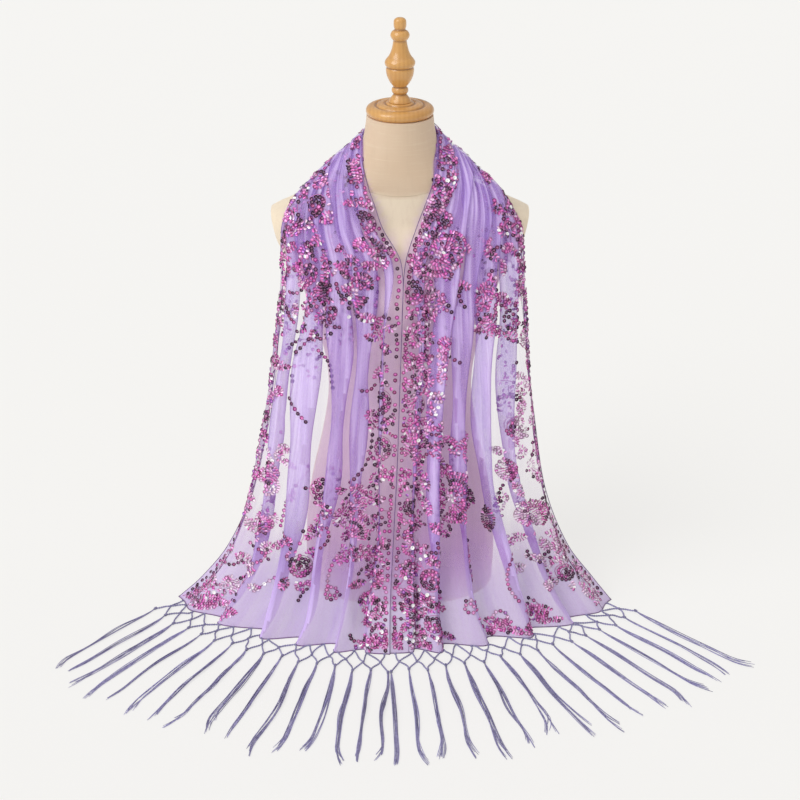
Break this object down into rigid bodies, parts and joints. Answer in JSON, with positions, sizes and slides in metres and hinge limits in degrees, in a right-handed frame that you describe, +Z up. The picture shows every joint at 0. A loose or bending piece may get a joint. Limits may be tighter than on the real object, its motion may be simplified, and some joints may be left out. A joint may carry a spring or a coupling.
{
  "type": "sequined net evening stole on a limbless dress form",
  "caption": "Sheer sequined net stole hung round the neck of a limbless linen dress form, its two falls open down the front to a flared hem with a long knotted fringe on the floor.",
  "frame": {"origin": "middle of the dress form's flat base, on the floor", "axes": "+Z up, X across the shoulders with +X to the viewer's right, -Y towards the front, where the two falls hang and the fringe lies"},
  "size_m": [1.1294, 0.6301, 0.9411],
  "materials": {
    "net": "sheer net with a soft sheen",
    "fringe_yarn": "soft twisted yarn",
    "linen": "plain woven, matte",
    "honey_wood": "satin varnish"
  },
  "bodies": {
    "root": {"stole_fall_left": "net", "stole_nape": "net", "stole_fall_right": "net", "fringe_left": "fringe_yarn", "fringe_right": "fringe_yarn", "dress_form": "linen", "neck_cap": "honey_wood", "finial": "honey_wood"}
  },
  "joints": []
}
